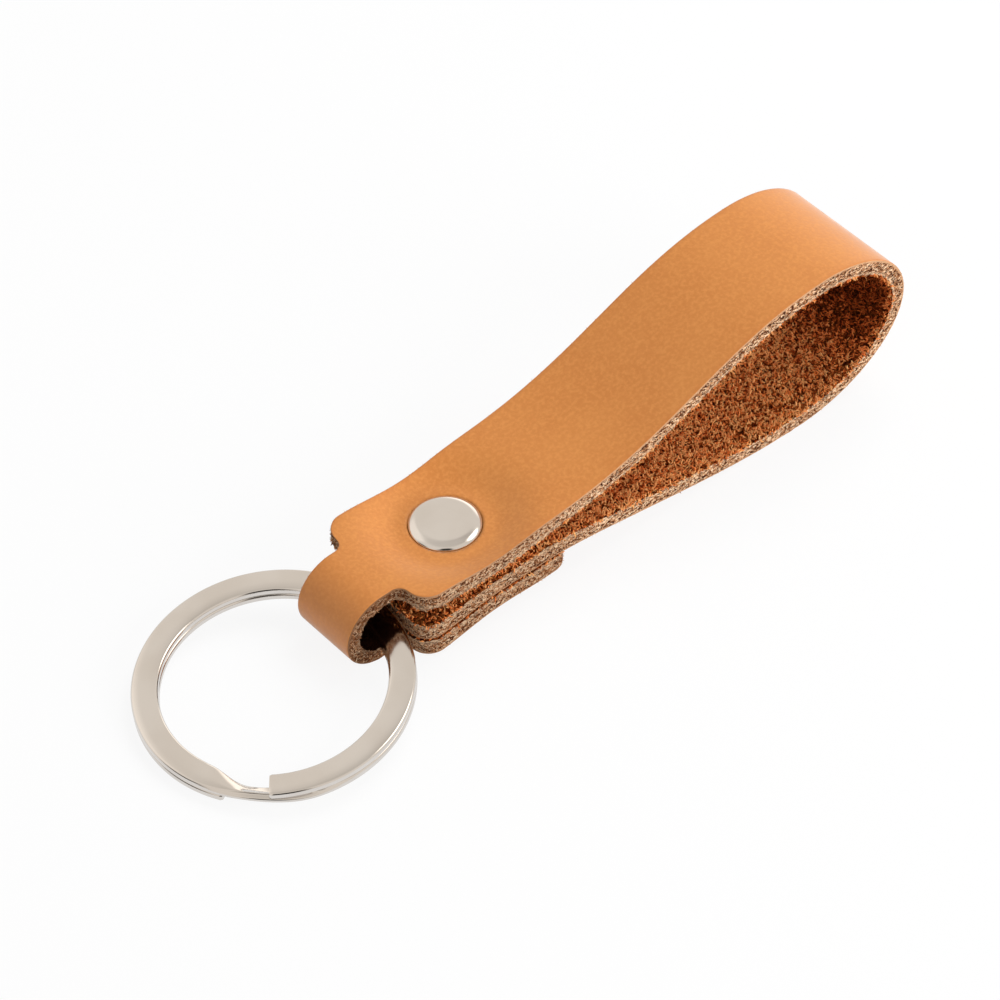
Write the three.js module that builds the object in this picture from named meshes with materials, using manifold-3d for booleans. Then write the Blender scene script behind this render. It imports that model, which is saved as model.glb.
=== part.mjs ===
// A leather key fob: one folded strap, closed by a double-cap rivet, with a split ring in its neck.
// Millimetres. The strap lies along +X from the ring to the belt loop, +Z is up, and the part stands on Z = 0.
import * as THREE from "three";
import { mergeVertices } from "three/addons/utils/BufferGeometryUtils.js";
import Module from "manifold-3d";

// Leather strap
const leather = 2.0; // thickness
const strapWidth = 19;
const neckWidth = 10;
const shoulderRadius = 3; // convex corner where the strap narrows to the neck
const endRadius = 2.8; // corners of the strap's two ends
const layerGap = 0.58; // between the three layers at the rivet
const flapReach = 12.9; // from the rivet to the end of the flap underneath
const shoulderReach = 12; // from the rivet to the shoulders beside the neck
const neckLength = 3.4; // from the shoulders to the centre of the neck's bend
const neckBend = 3.7; // inside radius of the neck's bend
const neckDrop = 0.95; // how far the neck's underside lies below the end of the flap

// Belt loop, as heights and distances of the strap's middle line from the rivet's axis and the top layer
const loopStart = 8; // where the arms leave the riveted layers
const loopReach = 72.2; // the loop's far end
const loopEndHeight = 0.75;
const crestBack = 14.7; // the loop's top, back from its far end
const crestHeight = 11.7;
const sagBack = 17.55; // the loop's lowest point, back from its far end
const sagDepth = 11.5;
const armEase = 23; // how gently the upper arm leaves the riveted layers
const crestEase = 19; // and reaches the loop's top
const sagEase = 16; // how gently the lower arm leaves its lowest point
const returnEase = 9; // it turns more tightly into the riveted layers

// How the rivet draws the layers in
const dishMargin = 1.25; // flat leather round each cap
const dishSpread = 4.2; // how far the hollow fades out beyond that
const flapDrop = 1.4; // how far the flap hangs below the clamped height
const innerDrop = 1.1; // and the end that comes back on top of it

// Double-cap rivet
const rivetAside = 0.4; // it sits a little off the strap's middle
const capRadius = 4.75;
const capBevel = 1.25; // width of the rounded edge round the flat top
const bevelDrop = 0.77; // and its height
const capSheet = 0.25; // thickness of the pressed shells
const hemWidth = 1.1; // rim of the shell, rolled under the flange
const flange = 0.4; // thickness of the inner flanges
const socketRadius = 1.85; // outside of the socket's tube
const socketWall = 0.5;
const holeClearance = 0.3; // leather hole round the socket
const capPress = 0.55; // how deep each cap is pressed into the leather
const fit = 0.15; // between the rivet's pieces, and round its caps

// Split ring
const ringBore = 14.6; // inside radius
const wireWidth = 3.55;
const wireHeight = 1.04;
const wireRound = 0.45; // rounded edges of the wire
const coilGap = 0.42; // between the two turns
const topEnd = -131; // angle of the upper free end, from +X
const jogStart = -168; // where the wire steps down from the upper turn to the lower
const jogEnd = -134;
const lowerEnd = -154; // angle of the lower free end, thinned where the step passes over it
const ringAside = -1.75; // the ring lies a little to one side
const hingeForward = 0.2; // the line it swings about, from the centre of the neck's bend towards the rivet
const hingeDrop = 0.45; // and below it
const wireForward = 0.88; // at rest the wire lies in front of that line, towards the rivet
const wireSink = 0.47; // and below it

// Facets
const turnSteps = 72; // ring sections per turn
const strapColumns = 8; // strips across the strap
const longestStep = 4; // longest strip along the strap
const clampStep = 2; // and near the rivet
const sharpestTurn = THREE.MathUtils.degToRad(9); // and on bends
const cornerSteps = 6;
const latheSteps = 40;

const leatherLook = { color: 0xdb9250, roughness: 0.6, metalness: 0 };
const nickelLook = { color: 0xcfc7be, roughness: 0.18, metalness: 1 };

const wasm = await Module();
wasm.setup();

function toSolid(geometry) {
  const merged = mergeVertices(
    new THREE.BufferGeometry()
      .setAttribute("position", geometry.getAttribute("position"))
      .setIndex(geometry.index),
    1e-4,
  );
  return new wasm.Manifold(
    new wasm.Mesh({
      numProp: 3,
      vertProperties: merged.getAttribute("position").array,
      triVerts: new Uint32Array(merged.index.array),
    }),
  );
}

function toGeometry(solid) {
  const mesh = solid.getMesh();
  return new THREE.BufferGeometry()
    .setAttribute("position", new THREE.BufferAttribute(mesh.vertProperties, 3))
    .setIndex(new THREE.BufferAttribute(mesh.triVerts, 1));
}

// Joins closed loops of points, all of the same even count, into one solid with a cap at each end.
// A loop's first half runs along one face and its second half back along the other.
function loft(loops) {
  const count = loops[0].length;
  const faces = [];
  for (let i = 0; i + 1 < loops.length; i++)
    for (let j = 0; j < count; j++) {
      const a = i * count + j,
        b = i * count + ((j + 1) % count);
      faces.push(a, b, b + count, a, b + count, a + count);
    }
  const last = (loops.length - 1) * count;
  for (let j = 0; j + 1 < count / 2; j++) {
    const a = j,
      b = j + 1,
      c = count - 2 - j,
      d = count - 1 - j;
    faces.push(a, d, c, a, c, b);
    faces.push(last + a, last + c, last + d, last + a, last + b, last + c);
  }
  const geometry = new THREE.BufferGeometry().setFromPoints(loops.flat());
  geometry.setIndex(faces);
  return geometry;
}

function lathe(profile) {
  return new THREE.LatheGeometry(profile, latheSteps).rotateX(Math.PI / 2);
}

function piece(name, geometry, look) {
  geometry.computeVertexNormals();
  const mesh = new THREE.Mesh(geometry, new THREE.MeshStandardMaterial(look));
  mesh.name = name;
  return mesh;
}

// Heights of the middle of each layer. The top of the leather under the upper cap is Z = 0.
const half = leather / 2;
const bendRadius = neckBend + half;
const middleZ = -leather - layerGap - half;
const innerZ = middleZ - innerDrop;
const bottomZ = middleZ - leather - layerGap - flapDrop;
const stack = 3 * leather + 2 * layerGap;
const neckReach = shoulderReach + neckLength;
const neckBottomZ = bottomZ - neckDrop;
const bendZ = neckBottomZ + bendRadius;
const topZ = bendZ + bendRadius; // the bend joins the flap to the top layer
const flapSlope = neckDrop / (flapReach + neckReach); // the inner end lies along the flap
const crest = { x: loopReach - crestBack, z: crestHeight };
const loopEnd = { x: loopReach, z: loopEndHeight };
const sag = { x: loopReach - sagBack, z: -sagDepth };

// The strap's middle line seen from the side, from the flap's end round the neck and the loop
// to the end between the layers.
function sideLine() {
  const line = new THREE.Path();
  line.moveTo(flapReach, bottomZ);
  line.lineTo(-neckReach, neckBottomZ);
  line.absarc(-neckReach, bendZ, bendRadius, -Math.PI / 2, Math.PI / 2, true);
  line.lineTo(loopStart, topZ);
  line.bezierCurveTo(loopStart + armEase, topZ, crest.x - crestEase, crest.z, crest.x, crest.z);
  quarterTurn(line, crest, loopEnd, true);
  quarterTurn(line, loopEnd, sag, false);
  const onFlap = (x) => [x, innerZ + flapSlope * (x - loopStart)];
  line.bezierCurveTo(sag.x - sagEase, sag.z, ...onFlap(loopStart + returnEase), ...onFlap(loopStart));
  line.lineTo(...onFlap(-shoulderReach));
  return line;
}

// A quarter of an ellipse between two points, leaving the first one level or upright.
function quarterTurn(line, from, to, level) {
  const k = 0.5523;
  const first = level
    ? [from.x + k * (to.x - from.x), from.z]
    : [from.x, from.z + k * (to.z - from.z)];
  const second = level
    ? [to.x, to.z - k * (to.z - from.z)]
    : [to.x - k * (to.x - from.x), to.z];
  line.bezierCurveTo(...first, ...second, to.x, to.z);
}

const strapLine = sideLine();
const pieces = strapLine.getCurveLengths(); // lengths up to the end of each stretch
const strapLength = strapLine.getLength();
const flapShoulder = flapReach + shoulderReach;
const topShoulder = pieces[1] + neckReach - shoulderReach;
const neckMiddle = (pieces[0] + pieces[1]) / 2;
const loopMiddle = pieces[4];

// The shoulders run into the neck by an S curve: a convex corner, then a fillet in what is left of the step.
const wide = strapWidth / 2;
const narrow = neckWidth / 2;
const shoulder = Math.min(shoulderRadius, wide - narrow);
const fillet = wide - narrow - shoulder;

// Half the strap's width at a distance along it, with its rounded ends and its shoulders
function halfWidth(s) {
  const corner = (radius, inside) =>
    radius - Math.sqrt(Math.max(0, radius ** 2 - (radius - inside) ** 2));
  const fromEnd = Math.min(s, strapLength - s);
  if (fromEnd < endRadius) return wide - corner(endRadius, fromEnd);
  const fromShoulder = Math.max(flapShoulder - s, s - topShoulder);
  if (fromShoulder >= shoulder) return wide;
  if (fromShoulder >= 0) return wide - corner(shoulder, fromShoulder);
  if (fromShoulder > -fillet) return narrow + corner(fillet, -fromShoulder);
  return narrow;
}

// Where the strap gets a section: along its rounded corners, then wherever it has gone far or turned enough.
function stations() {
  const marks = [0, strapLength];
  for (let i = 0; i <= cornerSteps; i++) {
    const rise = 1 - Math.cos((i / cornerSteps) * (Math.PI / 2));
    marks.push(endRadius * rise, strapLength - endRadius * rise);
    marks.push(flapShoulder - shoulder * rise, flapShoulder + fillet * rise);
    marks.push(topShoulder + shoulder * rise, topShoulder - fillet * rise);
  }
  marks.sort((a, b) => a - b);
  const places = [0];
  const heading = (s) => strapLine.getTangentAt(s / strapLength).angle();
  for (const mark of marks) {
    let from = places.at(-1);
    for (let s = from; s < mark - 0.4; s += 0.2) {
      const near = Math.abs(strapLine.getPointAt(s / strapLength).x) < flapReach;
      const turn = Math.abs(Math.sin(heading(s) - heading(from)));
      if (s - from >= (near ? clampStep : longestStep) || turn > Math.sin(sharpestTurn)) {
        places.push(s);
        from = s;
      }
    }
    if (mark - places.at(-1) > 0.02) places.push(mark);
  }
  return places;
}

// How far the rivet draws a layer's middle at x, y, z to the height where it is clamped.
function drawnIn(s, x, y, z) {
  const reach = Math.max(0, Math.hypot(x, y - rivetAside) - capRadius - dishMargin) / dishSpread;
  const clamped = s < neckMiddle ? half - stack : s < loopMiddle ? -half : middleZ;
  return Math.exp(-reach * reach) * (clamped - z);
}

function strapLoop(s) {
  const middle = strapLine.getPointAt(s / strapLength);
  const along = strapLine.getTangentAt(s / strapLength);
  const face = (side) =>
    Array.from({ length: strapColumns + 1 }, (_, j) => {
      const y = halfWidth(s) * (1 - (2 * j) / strapColumns);
      const z = middle.y + drawnIn(s, middle.x, y, middle.y);
      return new THREE.Vector3(middle.x - side * half * along.y, y, z + side * half * along.x);
    });
  return [...face(1), ...face(-1).reverse()];
}

function strap() {
  const folded = toSolid(loft(stations().map(strapLoop)));
  const hole = upright(socketRadius + holeClearance, -2 * stack, stack);
  const topSeat = upright(capRadius + fit, -capPress, stack);
  const bottomSeat = upright(capRadius + fit, -2 * stack, capPress - stack);
  const pressed = [hole, topSeat, bottomSeat].reduce((solid, cut) => solid.subtract(toSolid(cut)), folded);
  return piece("strap", toGeometry(pressed), leatherLook);
}

// An upright cylinder on the rivet's axis, between two heights
function upright(radius, low, high) {
  return new THREE.CylinderGeometry(radius, radius, high - low, latheSteps)
    .rotateX(Math.PI / 2)
    .translate(0, rivetAside, (low + high) / 2);
}

// Sizes inside a cap, with heights from its rim up
const capHeight = 2 * capSheet + 2 * fit + flange;
const capFlat = capRadius - capBevel;
const bevelStart = capHeight - Math.min(bevelDrop, capHeight - 2 * capSheet);
const flangeRadius = (capFlat + capRadius - capSheet) / 2;
const flangeLow = capSheet + fit;
const flangeHigh = flangeLow + flange;

// A pressed cap, open side down, its rim rolled inwards under the flange it holds. Its rim lies at Z = 0.
function capShell() {
  const shell = new THREE.Path();
  const inside = capRadius - capSheet;
  shell.moveTo(0, capHeight);
  shell.lineTo(capFlat, capHeight);
  shell.quadraticCurveTo(capRadius, capHeight, capRadius, bevelStart);
  shell.lineTo(capRadius, capSheet);
  shell.quadraticCurveTo(capRadius, 0, inside, 0);
  shell.lineTo(capRadius - hemWidth, 0);
  shell.lineTo(capRadius - hemWidth, capSheet);
  shell.lineTo(inside, capSheet);
  shell.lineTo(inside, bevelStart);
  shell.quadraticCurveTo(inside, capHeight - capSheet, capFlat - capSheet / 2, capHeight - capSheet);
  shell.lineTo(0, capHeight - capSheet);
  return lathe(shell.getPoints(6).reverse());
}

const seat = fit - capPress; // height of the upper cap's rim
const grip = stack + 2 * seat; // between the rims of the two caps
const socketBore = socketRadius - socketWall;
const postRadius = socketBore - fit;

function socket() {
  const tubeEnd = fit - grip;
  return lathe(
    [
      [socketBore, flangeHigh],
      [flangeRadius, flangeHigh],
      [flangeRadius, flangeLow],
      [socketRadius, flangeLow],
      [socketRadius, tubeEnd],
      [socketBore, tubeEnd],
      [socketBore, flangeHigh],
    ].map(([r, z]) => new THREE.Vector2(r, z)).reverse(),
  );
}

// The post is built like the lower cap, upside down: its flange near Z = 0, its stem down the socket.
function post() {
  const tip = -grip - flangeLow;
  const lead = postRadius / 4;
  return lathe(
    [
      [0, flangeHigh],
      [flangeRadius, flangeHigh],
      [flangeRadius, flangeLow],
      [postRadius, flangeLow],
      [postRadius, tip + lead],
      [postRadius - lead, tip],
      [0, tip],
    ].map(([r, z]) => new THREE.Vector2(r, z)).reverse(),
  );
}

function rivet() {
  const upper = new THREE.Group();
  upper.position.set(0, rivetAside, seat);
  upper.add(piece("rivet_top_cap", capShell(), nickelLook), piece("rivet_socket", socket(), nickelLook));
  const lower = new THREE.Group();
  lower.position.set(0, rivetAside, -stack - seat);
  lower.rotation.x = Math.PI;
  lower.add(piece("rivet_bottom_cap", capShell(), nickelLook), piece("rivet_post", post(), nickelLook));
  return [upper, lower];
}

const wireRadius = ringBore + wireWidth / 2;
const ringOuter = ringBore + wireWidth;
const coilPitch = wireHeight + coilGap;
const ringHeight = wireHeight + coilPitch;

// The wire's section: a flat bar with rounded edges, its upper face first.
function wireSection() {
  const bar = [];
  const quarter = Math.PI / 2;
  const steps = 2;
  const edge = Math.min(wireRound, 0.45 * wireHeight);
  for (const [sideways, upwards, start] of [
    [-1, 1, 2 * quarter],
    [1, 1, quarter],
    [1, -1, 0],
    [-1, -1, 3 * quarter],
  ])
    for (let i = 0; i <= steps; i++) {
      const turn = start - (i / steps) * quarter;
      bar.push({
        out: sideways * (wireWidth / 2 - edge) + edge * Math.cos(turn),
        up: upwards * (wireHeight / 2 - edge) + edge * Math.sin(turn),
      });
    }
  return bar;
}

// How far the wire has stepped down at an angle, as a share of the pitch
const stepDown = (angle) => THREE.MathUtils.smoothstep(angle, jogStart + 360, jogEnd + 360);

// Two turns of one wire, from the upper free end round to the step down and on to the lower free end.
function ringLoops() {
  const sweep = lowerEnd + 720 - topEnd;
  const bar = wireSection();
  const step = 360 / turnSteps;
  return Array.from({ length: Math.ceil(sweep / step) + 1 }, (_, i) => {
    const angle = topEnd + Math.min(i * step, sweep);
    const level = coilPitch * (0.5 - stepDown(angle));
    const thinned = Math.max(0.3, 1 - (coilPitch / wireHeight) * stepDown(angle - 360));
    const bottom = level - wireHeight / 2;
    const turn = THREE.MathUtils.degToRad(angle);
    return bar.map(
      ({ out, up }) =>
        new THREE.Vector3(
          (wireRadius + out) * Math.cos(turn),
          (wireRadius + out) * Math.sin(turn),
          bottom + thinned * (up + wireHeight / 2),
        ),
    );
  });
}

// The least distance between points of the wire that lie more than a quarter turn apart along it.
function leastGap(loops) {
  const apart = Math.round(turnSteps / 4);
  let least = Infinity;
  loops.forEach((near, i) => {
    for (const far of loops.slice(i + apart))
      for (const p of near) for (const q of far) least = Math.min(least, p.distanceTo(q));
  });
  return least;
}

function splitRing() {
  const loops = ringLoops();
  console.log("split ring: least gap between its turns " + leastGap(loops).toFixed(3) + " mm");
  return piece("split_ring", loft(loops), nickelLook);
}

// The tilt at which the strap stands on the bend of its neck and on the lowest part of its loop.
function restTilt() {
  const outline = stations().map((s) => strapLoop(s)[0]);
  const lowest = (side, tilt) =>
    outline
      .filter((p) => side * p.x > 0)
      .reduce((low, p) =>
        p.z * Math.cos(tilt) + p.x * Math.sin(tilt) < low.z * Math.cos(tilt) + low.x * Math.sin(tilt) ? p : low,
      );
  let tilt = 0;
  for (let i = 0; i < 8; i++) {
    const neck = lowest(-1, tilt),
      loop = lowest(1, tilt);
    tilt = Math.atan2(neck.z - loop.z, loop.x - neck.x);
  }
  return tilt;
}

// The fob tilted as it rests, and the ring hinged in its neck with its far side on the same surface.
function keychain() {
  const whole = new THREE.Group();
  whole.name = "leather_keychain";
  const fob = new THREE.Group();
  fob.add(strap(), ...rivet());
  const tilt = restTilt();
  fob.rotation.y = -tilt;
  whole.add(fob);
  whole.updateMatrixWorld(true);
  const floor = new THREE.Box3().setFromObject(fob, true).min.z;

  const hinge = new THREE.Group();
  hinge.position.set(hingeForward - neckReach, 0, bendZ - hingeDrop).applyEuler(fob.rotation);
  const reach = wireRadius + ringOuter - wireForward;
  const below = wireSink + ringHeight / 2;
  const droop = Math.asin((hinge.position.z - floor) / Math.hypot(reach, below)) - Math.atan(below / reach);
  hinge.rotation.y = -droop;
  const ring = splitRing();
  ring.position.set(wireForward - wireRadius, ringAside, -wireSink);
  hinge.add(ring);
  whole.add(hinge);

  whole.updateMatrixWorld(true);
  const box = new THREE.Box3().setFromObject(whole, true);
  const middle = box.getCenter(new THREE.Vector3());
  for (const group of [fob, hinge]) {
    group.position.x -= middle.x;
    group.position.y -= middle.y;
    group.position.z -= box.min.z;
  }
  return whole;
}

export default keychain();
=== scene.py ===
# A leather key fob with a belt loop, a double-cap rivet and a split ring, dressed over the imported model.
import math

import bmesh
import bpy
import numpy as np
from mathutils import Matrix, Vector, noise


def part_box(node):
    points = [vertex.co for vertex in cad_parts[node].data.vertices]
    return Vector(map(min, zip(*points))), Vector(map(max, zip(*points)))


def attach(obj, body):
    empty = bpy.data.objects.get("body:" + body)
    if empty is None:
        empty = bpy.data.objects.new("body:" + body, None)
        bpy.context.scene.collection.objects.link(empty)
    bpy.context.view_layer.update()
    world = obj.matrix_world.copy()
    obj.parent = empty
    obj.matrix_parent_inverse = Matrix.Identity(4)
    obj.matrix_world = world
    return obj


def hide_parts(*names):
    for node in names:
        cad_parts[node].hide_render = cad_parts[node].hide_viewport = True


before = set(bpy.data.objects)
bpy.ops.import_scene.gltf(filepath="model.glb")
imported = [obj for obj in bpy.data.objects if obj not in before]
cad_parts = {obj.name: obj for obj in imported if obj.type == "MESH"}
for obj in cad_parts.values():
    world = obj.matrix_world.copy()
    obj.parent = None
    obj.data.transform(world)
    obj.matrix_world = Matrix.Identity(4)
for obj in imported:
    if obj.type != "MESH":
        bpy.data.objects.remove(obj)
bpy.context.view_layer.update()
mm = 0.001  # sizes below are in millimetres
print("frame loaded:", ", ".join(sorted(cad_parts)))


# Small helpers for node trees
def setSocket(socket, value):  # a link from another socket, or a plain value
    if isinstance(value, bpy.types.NodeSocket):
        socket.id_data.links.new(value, socket)
    else:
        socket.default_value = value


def put(tree, kind, inputs=None, **settings):  # a node with its options set and its inputs set or linked
    node = tree.nodes.new(kind)
    for name, value in settings.items():
        setattr(node, name, value)
    for name, value in (inputs or {}).items():
        setSocket(node.inputs[name], value)
    return node


def result(tree, kind, inputs=None, **settings):  # the first output of such a node
    return put(tree, kind, inputs, **settings).outputs[0]


def maths(operation, first, second=0.0):  # in the tree of whichever is a socket
    tree = (first if isinstance(first, bpy.types.NodeSocket) else second).id_data
    return result(tree, "ShaderNodeMath", {0: first, 1: second}, operation=operation)


def plus(first, second):
    return maths("ADD", first, second)


def minus(first, second):
    return maths("SUBTRACT", first, second)


def times(first, second):
    return maths("MULTIPLY", first, second)


def vectorMaths(tree, operation, inputs):
    return put(tree, "ShaderNodeVectorMath", inputs, operation=operation).outputs


def combine(tree, x=0.0, y=0.0, z=0.0):
    return result(tree, "ShaderNodeCombineXYZ", {"X": x, "Y": y, "Z": z})


def softStep(value, low, high):  # goes from 0 to 1 between two levels
    limits = {"Value": value, "From Min": low, "From Max": high}
    return result(value.id_data, "ShaderNodeMapRange", limits, interpolation_type="SMOOTHSTEP")


def blend(factor, first, second):
    mixed = {0: factor, 6: first, 7: second}
    return put(factor.id_data, "ShaderNodeMix", mixed, data_type="RGBA").outputs[2]


def tint(red, green, blue):  # a colour as a screen shows it, 0 to 255, as the linear values that nodes take
    def linear(value):
        value /= 255
        return value / 12.92 if value <= 0.04045 else ((value + 0.055) / 1.055) ** 2.4

    return (linear(red), linear(green), linear(blue), 1.0)


def toneRamp(factor, look):  # a look's colours, each at its place among the tones
    node = put(factor.id_data, "ShaderNodeValToRGB", {"Fac": factor})
    elements = node.color_ramp.elements
    while len(elements) < len(look["tones"]):
        elements.new(0.5)
    for element, (name, place) in zip(elements, look["tones"].items()):
        element.position = place
        element.color = tint(*look[name])
    return node.outputs["Color"]


def newTree(name, kind, inputs, outputs):  # a node group with named sockets, and what is given to it
    tree = bpy.data.node_groups.new(name, kind)
    for way, sockets in (("INPUT", inputs), ("OUTPUT", outputs)):
        for socket, sort in sockets.items():
            tree.interface.new_socket(socket, in_out=way, socket_type="NodeSocket" + sort)
    return tree, put(tree, "NodeGroupInput").outputs


def bareTree(owner):  # the empty node tree of a material or a world
    owner.use_nodes = True
    owner.node_tree.nodes.clear()
    return owner.node_tree


def addObject(name, data):
    item = bpy.data.objects.new(name, data)
    bpy.context.scene.collection.objects.link(item)
    return item


# Shared shader groups
def makeMottle():  # soft patches: 0 to 1 between two levels of a noise
    inputs = {"Vector": "Vector", "Scale": "Float", "Detail": "Float", "Low": "Float", "High": "Float"}
    tree, given = newTree("mottle", "ShaderNodeTree", inputs, {"Mask": "Float"})
    wanted = {name: given[name] for name in ("Vector", "Scale", "Detail")}
    cloud = result(tree, "ShaderNodeTexNoise", wanted)
    put(tree, "NodeGroupOutput", {"Mask": softStep(cloud, given["Low"], given["High"])})
    return tree


fleckMix = {
    "swirlScale": 0.6,  # of the noise that bends the cells, against theirs
    "fineScale": 2.2,
    "cellShare": 0.6,
    "fineShare": 0.4,
}


def makeFlecks():  # torn fibre ends: a random tone for each bent cell, and a height for bump
    inputs = {"Vector": "Vector", "Scale": "Float", "Bend": "Float"}
    tree, given = newTree("flecks", "ShaderNodeTree", inputs, {"Tone": "Float", "Height": "Float"})
    place, scale = given["Vector"], given["Scale"]
    swirlScale = times(scale, fleckMix["swirlScale"])
    swirl = put(tree, "ShaderNodeTexNoise", {"Vector": place, "Scale": swirlScale}).outputs["Color"]
    off = vectorMaths(tree, "SUBTRACT", {0: swirl, 1: (0.5, 0.5, 0.5)})["Vector"]
    push = vectorMaths(tree, "SCALE", {0: off, "Scale": given["Bend"]})["Vector"]
    bent = vectorMaths(tree, "ADD", {0: place, 1: push})["Vector"]
    cells = put(tree, "ShaderNodeTexVoronoi", {"Vector": bent, "Scale": scale}).outputs
    cellTone = result(tree, "ShaderNodeSeparateColor", {"Color": cells["Color"]})
    fineScale = times(scale, fleckMix["fineScale"])
    fine = result(tree, "ShaderNodeTexNoise", {"Vector": bent, "Scale": fineScale})
    cellPart = times(cellTone, fleckMix["cellShare"])
    tone = plus(cellPart, times(fine, fleckMix["fineShare"]))
    height = minus(tone, cells["Distance"])
    put(tree, "NodeGroupOutput", {"Tone": tone, "Height": height})
    return tree


mottleTree = makeMottle()
flecksTree = makeFlecks()


def mottle(place, scale, low, high, detail=2.0):
    values = {"Vector": place, "Scale": scale, "Detail": detail, "Low": low, "High": high}
    return result(place.id_data, "ShaderNodeGroup", values, node_tree=mottleTree)


def flecks(place, scale, bend):
    values = {"Vector": place, "Scale": scale, "Bend": bend}
    return put(place.id_data, "ShaderNodeGroup", values, node_tree=flecksTree).outputs


def startMaterial(name):
    material = bpy.data.materials.new(name)
    tree = bareTree(material)
    shader = put(tree, "ShaderNodeBsdfPrincipled")
    put(tree, "ShaderNodeOutputMaterial", {"Surface": shader.outputs[0]})
    return material, tree, shader


def objectPlace(tree):
    return put(tree, "ShaderNodeTexCoord").outputs["Object"]


def feed(shader, **values):  # keyword names stand for the shader's sockets
    for name, value in values.items():
        setSocket(shader.inputs[name.replace("_", " ")], value)


def bump(height, strength, depth):
    values = {"Height": height, "Strength": strength, "Distance": depth}
    return result(height.id_data, "ShaderNodeBump", values)


def attribute(tree, name):
    return put(tree, "ShaderNodeAttribute", attribute_name=name).outputs["Fac"]


# Finishes. Levels are where a mask begins and ends, and bumps a strength and a depth
grainFinish = {
    "deep": (203, 125, 54),
    "tan": (209, 132, 60),
    "pale": (224, 151, 78),
    "rubAndShade": (184, 104, 46),  # worn along the cut edges, and painted shade in the neck's bend
    "cloudScale": 85,
    "cloudLevels": (0.3, 0.7),
    "fleckScale": 2000,
    "fleckLevels": (0.35, 0.75),
    "detail": 3.0,
    "fleckShare": 0.55,
    "rubAndShadeShare": 0.4,
    "poreScale": 2600,
    "fleckRise": 0.8,  # against the pores
    "roughness": 0.47,
    "fleckRoughness": 0.1,  # added to it
    "bump": (0.35, 0.03 * mm),
    "specular": 0.64,
    "sheen": 0.65,  # pales the leather where it turns away
    "sheenRoughness": 0.3,
}


def grainLeather():
    look = grainFinish
    material, tree, shader = startMaterial("grain_leather")
    place = objectPlace(tree)
    clouds = mottle(place, look["cloudScale"], *look["cloudLevels"], look["detail"])
    specks = mottle(place, look["fleckScale"], *look["fleckLevels"], look["detail"])
    colour = blend(clouds, tint(*look["deep"]), tint(*look["tan"]))
    colour = blend(times(specks, look["fleckShare"]), colour, tint(*look["pale"]))
    # worn darker along the cut edges, with painted shade in the neck's bend
    wornAndShaded = times(attribute(tree, "rubbedAndShaded"), look["rubAndShadeShare"])
    colour = blend(wornAndShaded, colour, tint(*look["rubAndShade"]))
    pores = put(tree, "ShaderNodeTexVoronoi", {"Vector": place, "Scale": look["poreScale"]})
    height = plus(pores.outputs["Distance"], times(specks, look["fleckRise"]))
    rough = plus(times(specks, look["fleckRoughness"]), look["roughness"])
    feed(shader, Base_Color=colour, Roughness=rough, Normal=bump(height, *look["bump"]))
    feed(shader, Specular_IOR_Level=look["specular"])
    feed(shader, Sheen_Weight=look["sheen"], Sheen_Roughness=look["sheenRoughness"])
    return material


fleshFinish = {
    "dark": (58, 22, 8),
    "brown": (150, 76, 30),
    "tan": (222, 142, 72),
    "neckBendShade": (44, 21, 11),  # painted shade inside the neck's bend
    "tones": {"dark": 0.25, "brown": 0.55, "tan": 0.85},
    "scale": 3200,
    "bend": 0.0004,
    "shadeScale": 300,
    "shadeLevels": (0.3, 0.75),
    "shadeShare": 0.4,
    "roughness": 0.95,
    "bump": (0.9, 0.2 * mm),
    "specular": 0.0,
}


def fleshLeather():
    look = fleshFinish
    material, tree, shader = startMaterial("flesh_leather")
    place = objectPlace(tree)
    dark = tint(*look["dark"])
    torn = flecks(place, look["scale"], look["bend"])
    colour = toneRamp(torn["Tone"], look)
    shade = mottle(place, look["shadeScale"], *look["shadeLevels"])
    colour = blend(times(shade, look["shadeShare"]), colour, dark)
    # painted shade: the flesh goes dark in the loop's tight end, by the neck and at the inner end
    colour = blend(attribute(tree, "paintedShade"), colour, dark)
    # painted shade: the flesh goes dark inside the neck's bend
    colour = blend(attribute(tree, "inNeck"), colour, tint(*look["neckBendShade"]))
    normal = bump(torn["Height"], *look["bump"])
    feed(shader, Base_Color=colour, Roughness=look["roughness"], Normal=normal)
    feed(shader, Specular_IOR_Level=look["specular"])
    return material


edgeFinish = {
    "dark": (72, 40, 27),
    "brown": (148, 92, 58),
    "beige": (208, 151, 106),
    "pale": (250, 216, 178),
    "grainLine": (212, 164, 124),
    "darkenedEdge": (90, 52, 28),  # painted shade round the neck, and darker on the riveted layers
    "tones": {"dark": 0.34, "brown": 0.45, "beige": 0.57, "pale": 0.7},
    "scale": 5000,
    "drawnOut": (0.62, 1.0, 1.0),  # the fibres lie along the strap
    "bend": 0.0003,
    "lineLevels": (0.76, 0.9),  # of the grain's line, through the leather from the flesh side
    "lipLevels": (0.16, 0.02),  # of the pale lip along the flesh side
    "wander": 0.12,  # how far both stray
    "roughness": 0.9,
    "bump": (0.8, 0.12 * mm),
    "specular": 0.05,
}


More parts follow.
